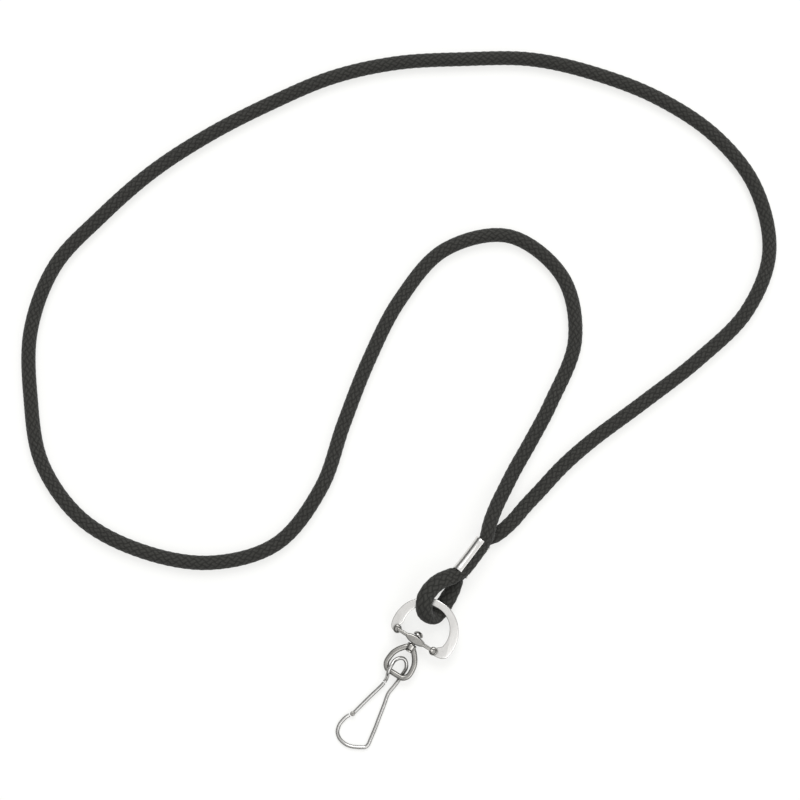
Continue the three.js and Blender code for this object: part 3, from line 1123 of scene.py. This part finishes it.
@dataclass
class Swivel:
    """The domed rivet and the closed link that it carries."""

    layout: Layout
    shank: float = 0.7
    head: float = 1.55
    head_height: float = 1.35
    tail: float = 1.25
    tail_thickness: float = 0.5
    hub_half_thickness: float = 1.25
    fit: float = 0.2
    running: float = 0.3
    apex_depth: float = 1.9
    boss: float = 1.5
    link_half_width: float = 4.8
    link_length: float = 11.2
    widest: float = 6.1
    leg: float = 1.7

    def build(self, material: bpy.types.Material) -> None:
        """Builds and dresses the rivet and the link.

        Args:
            material: Their material.
        """
        rivet = self._rivet()
        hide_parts("swivel_rivet")
        settle_on(paint(rivet, material), Body.SWIVEL)
        link = self._link()
        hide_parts("swivel_link")
        settle_on(paint(link, material), Body.SWIVEL)

    def _rivet(self) -> bpy.types.Object:
        """Models the rivet by spinning its profile about the swivel's axis."""
        top = self.hub_half_thickness + self.fit
        tail_top = -(self.hub_half_thickness + self.running) - self.apex_depth - self.fit
        tail_bottom = tail_top - self.tail_thickness
        profile = [(0, tail_bottom), (self.tail * 0.8, tail_bottom), (self.tail, tail_bottom + 0.15)]
        profile += [(self.tail, tail_top), (self.shank, tail_top), (self.shank, top)]
        profile.append((self.head * 0.95, top))
        for step in range(12):
            angle = math.radians(4 + 86 * step / 12)
            dome = (self.head_height - 0.1) * math.sin(angle)
            profile.append((self.head * math.cos(angle), top + 0.1 + dome))
        profile.append((0, top + self.head_height))
        mesh = bpy.data.meshes.new("rivet")
        verts = [(x * MM, y * MM, 0.0) for x, y in profile]
        mesh.from_pydata(verts, [(i, i + 1) for i in range(len(verts) - 1)], [])
        rivet = activate(add_object("domed_rivet", mesh))
        enter("EDIT")
        bpy.ops.mesh.select_all(action="SELECT")
        bpy.ops.mesh.spin(steps=48, angle=2 * math.pi, center=(0, 0, 0), axis=(0, 1, 0))
        enter("OBJECT")
        face_out(rivet)
        self.layout.tip(rivet)
        smooth(rivet)
        return rivet

    def _link(self) -> bpy.types.Object:
        """Sweeps the link's pear-shaped loop and adds its boss."""
        top = -(self.hub_half_thickness + self.running)
        half = self.link_half_width - self.leg / 2
        wide = top - self.widest
        low = top - self.link_length + self.leg / 2
        right = [
            (0.0, top - 1.0, 0), (1.1, top - 1.45, 0), (2.1, top - 2.5, 0), (3.0, top - 3.7, 0),
            (half - 0.25, wide + 0.9, 0), (half, wide - 0.6, 0), (half, wide - 2.4, 0),
            (half - 0.35, low + 1.0, 0), (half - 1.3, low + 0.1, 0), (1.2, low, 0),
        ]
        loop = right + [(-x, y, z) for x, y, z in reversed(right[1:])]
        fine = centripetal([loop[-1], *loop, loop[0], loop[1]], 0.25)
        away = np.linalg.norm(fine - np.array(loop[0]), axis=1)
        ring = fine[int(np.argmin(away[:40])) : len(fine) - 60 + int(np.argmin(away[-60:]))]
        section = rounded_section(self.leg, self.leg, 0.62)
        link = sweep("link_loop", [tuple(p) for p in ring], section, closed=True)
        bpy.data.objects.remove(section)
        middle = top - self.apex_depth / 2
        boss = post(48, self.boss, self.apex_depth, (0, middle * MM, 0), math.pi / 2)
        round_edges(boss, 0.35, 4)
        link = join(link, [boss], "swivel_stirrup")
        self.layout.tip(link)
        face_out(link)
        smooth(link, 45.0)
        return link


@dataclass
class SnapHook:
    """The spring wire with its eye, spine and bend, and the gate arm at its other end."""

    layout: Layout
    wire: float = 1.2
    lift: float = 0.05
    eye_half_width: float = 2.0
    eye_reach: float = 5.2
    link_bar: float = -11.9
    link_thickness: float = 1.7
    running: float = 0.3
    neck_y: float = -15.2
    gate_root_y: float = -15.8
    neck_left_x: float = -1.3
    neck_right_x: float = 1.8
    catch_x: float = -4.4
    catch_y: float = -28.6
    catch_radius: float = 0.75
    catch_height: float = 1.9
    gate_rise: float = 1.1
    step: float = 0.22

    @property
    def flat(self) -> float:
        """The wire's middle over the table."""
        return self.lift + self.wire / 2

    def _hook_route(self) -> list[Point]:
        """Returns the wire's route from the gate's root to the tip."""
        bar_y = self.link_bar * math.cos(self.layout.tilt)
        bar_z = self.layout.hub.z + self.link_bar * math.sin(self.layout.tilt)
        over = bar_z + self.link_thickness / 2 + self.running + self.wire / 2 + 0.15
        top = bar_y + self.eye_reach
        eye, flat = self.eye_half_width, self.flat
        root = self.gate_root_y + self.running
        tip = Vector((0.59, 0.81)).normalized() * (self.catch_radius + self.running)
        return [
            (self.neck_left_x, root, flat + self.gate_rise),
            (self.neck_left_x, root + 0.8, flat + self.gate_rise + 0.1),
            (-1.4, bar_y - 2.1, over - 1.5), (-1.7, bar_y - 1.2, over - 0.5),
            (-eye, bar_y, over), (-eye - 0.1, top - 3.4, over), (-eye, top - 1.8, over - 0.5),
            (-1, top - 0.4, over - 1), (0, top, over - 1.4), (1, top - 0.4, over - 1.8),
            (eye, top - 1.8, flat + 1.2), (eye + 0.1, top - 3.6, flat + 0.3), (eye, bar_y, flat),
            (eye, bar_y - 1.6, flat), (self.neck_right_x, self.neck_y, flat), (1.5, -17.8, flat),
            (2.2, -21.3, flat), (2.9, -25, flat), (3.6, -28.6, flat), (4.15, -32, flat),
            (4.4, -33.9, flat), (4.1, -34.9, flat), (2.7, -35.9, flat), (0.7, -36.9, flat),
            (-0.7, -37.3, flat), (-2.3, -37.3, flat), (-4, -36.8, flat), (-5.4, -35.6, flat),
            (-6.05, -33.6, flat), (-5.95, -32, flat), (-5.55, -30.4, flat),
            (self.catch_x - tip.x, self.catch_y - tip.y, flat),
        ]

    def _gate_route(self) -> list[Point]:
        """Returns the gate arm's route from its root to the catch."""
        left, root, rise, flat = self.neck_left_x, self.gate_root_y, self.gate_rise, self.flat
        middle = ((left + self.catch_x) / 2, (root + self.catch_y) / 2, flat + rise * 0.35)
        return [
            (left, root, flat + rise), (left - 0.1, root - 0.8, flat + rise * 0.9), middle,
            (self.catch_x + 0.1, self.catch_y + 0.3, flat),
        ]

    def build(self, material: bpy.types.Material, reflection_shaded_plate: bpy.types.Material) -> None:
        """Builds and dresses the hook and the gate.

        Args:
            material: The wire's material.
            reflection_shaded_plate: A darker copy of the plate on the catch, a painted dark
                reflection.
        """
        hook_line = centripetal(self.layout.flat(self._hook_route()), self.step)
        hook = sweep("wire_hook", [tuple(p) for p in hook_line], self.wire / 2)
        face_out(hook)
        smooth(hook, 60.0)
        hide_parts("snap_hook")
        settle_on(paint(hook, material), Body.HOOK)
        gate_line = centripetal(self.layout.flat(self._gate_route()), self.step)
        arm = sweep("gate_arm", [tuple(p) for p in gate_line], self.wire / 2 * 0.98)
        middle = (self.catch_x, self.catch_y, self.lift + self.catch_height / 2)
        place = Vector(self.layout.flat([middle])[0]) * MM
        knob = post(40, self.catch_radius, self.catch_height, place)
        round_edges(knob, 0.3, 5)
        # The catch knob takes the darker copy of the plate, a painted dark reflection.
        gate = join(paint(arm, material), [paint(knob, reflection_shaded_plate)], "spring_gate")
        face_out(gate)
        smooth(gate, 60.0)
        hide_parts("hook_gate")
        settle_on(gate, Body.GATE)


# ---- Stage -------------------------------------------------------------------------------------


@dataclass
class Studio:
    """A white table, soft light from above and a camera that looks down at the lanyard."""

    aim: Point = (-44.25, 61.3, 0.0)
    distance: float = 600.0
    elevation: float = 80.0
    heading: float = 32.0
    width_seen: float = 248.0
    sensor: float = 36.0
    floor_size: float = 4.0
    glow_seen: float = 0.72
    glow_mirrored: float = 0.6
    lamps: tuple[tuple[str, Point, float, float], ...] = (
        ("key", (-0.5, 0.9, 1.3), 1.0, 16.0), ("fill", (0.9, -0.3, 1.1), 1.2, 8.0),
    )
    room: tuple[tuple[float, float], ...] = (
        (0.0, 0.55), (0.12, 0.10), (0.52, 0.16), (0.68, 0.80), (1.0, 1.0),
    )

    def camera(self) -> None:
        """Makes the camera and gives it to the scene."""
        data = bpy.data.cameras.new("camera")
        data.sensor_width = self.sensor
        data.lens = self.sensor * self.distance / self.width_seen
        camera = add_object("camera", data)
        rise, turn = math.radians(self.elevation), math.radians(self.heading)
        up_page = Vector((-math.sin(turn), math.cos(turn), 0))
        ahead = up_page * math.cos(rise) - Vector((0, 0, 1)) * math.sin(rise)
        right = Vector((math.cos(turn), math.sin(turn), 0))
        up = right.cross(ahead)
        camera.location = (Vector(self.aim) - ahead * self.distance) * MM
        camera.rotation_euler = Matrix((right, up, -ahead)).transposed().to_euler()
        data.clip_start, data.clip_end = 0.01, 20.0
        bpy.context.scene.camera = camera

    def floor(self) -> None:
        """Lays a white floor that shows as white and keeps a soft contact shadow."""
        deselect()
        bpy.ops.mesh.primitive_plane_add(size=self.floor_size, location=(0, 0, 0))
        floor = bpy.context.active_object
        floor.name = "table"
        shader = Shader(bpy.data.materials.new("white_table"))
        matt = shader.node("ShaderNodeBsdfDiffuse", {}, {"Color": (0.9, 0.9, 0.895)})
        white = {"Color": (0.985, 0.985, 0.97), "Strength": 1.0}
        glow = shader.node("ShaderNodeEmission", {}, white)
        rays = shader.node("ShaderNodeLightPath")
        seen = Value(shader, rays.outputs["Is Camera Ray"]) * self.glow_seen
        mirrored = Value(shader, rays.outputs["Is Glossy Ray"]) * self.glow_mirrored
        values = {0: seen.highest(mirrored), 1: matt.outputs[0], 2: glow.outputs[0]}
        paint(floor, shader.close(shader.node("ShaderNodeMixShader", {}, values)))

    def lights(self) -> None:
        """Adds the soft boxes and the pale room."""
        for name, place, size, watts in self.lamps:
            data = bpy.data.lights.new(name, "AREA")
            data.size, data.energy = size, watts
            lamp = add_object(name, data)
            lamp.location = place
            lamp.rotation_euler = (-Vector(place)).to_track_quat("-Z", "Y").to_euler()
        self._room()
        bpy.context.scene.view_settings.view_transform = "Standard"

    def _room(self) -> None:
        """Makes a room that is white to the camera and graded by height for everything else."""
        shader = Shader(bpy.data.worlds.new("room"), "ShaderNodeOutputWorld")
        place = shader.node("ShaderNodeTexCoord").outputs["Generated"]
        height = shader.node("ShaderNodeSeparateXYZ", {}, {0: place}).outputs[2]
        stops = [(at, (level, level, level * 0.995)) for at, level in self.room]
        graded = shader.node("ShaderNodeValToRGB", {"stops": stops}, {0: height}).outputs[0]
        seen = shader.node("ShaderNodeLightPath").outputs["Is Camera Ray"]
        colour = shader.mix(seen, graded, (0.985, 0.985, 0.975))
        background = shader.node("ShaderNodeBackground", {}, {"Color": colour, "Strength": 1.0})
        bpy.context.scene.world = shader.close(background)


def main() -> None:
    """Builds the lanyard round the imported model."""
    logging.basicConfig(level=logging.INFO, format="%(name)s %(message)s")
    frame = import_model()
    layout = Layout.of(frame)
    studio = Studio()
    studio.camera()
    braid_material = BraidFinish().build()
    nickel = PlateFinish().build()
    # Painted reflection: a darker copy of the nickel plate stands in for dark reflections on the
    # crossbar, hub, corners, rivet, link and catch.
    reflection_shaded_plate = PlateFinish(
        name="reflection_shaded_nickel", bright=(0.36, 0.352, 0.335), dull=(0.13, 0.126, 0.12), polish=0.2,
    ).build()
    wire = PlateFinish(
        name="drawn_wire", bright=(0.47, 0.465, 0.455), dull=(0.24, 0.235, 0.225), polish=0.22,
    ).build()
    crimp = CrimpSleeve(layout)
    braid = BraidedCord()
    NeckLoop(layout, braid).build(crimp, braid_material)
    Bight(layout, braid).build(crimp, braid_material)
    crimp.build(nickel)
    DRing(layout).build(nickel, reflection_shaded_plate)
    Swivel(layout).build(reflection_shaded_plate)
    SnapHook(layout).build(wire, reflection_shaded_plate)
    studio.floor()
    studio.lights()


if __name__ == "__main__":
    main()
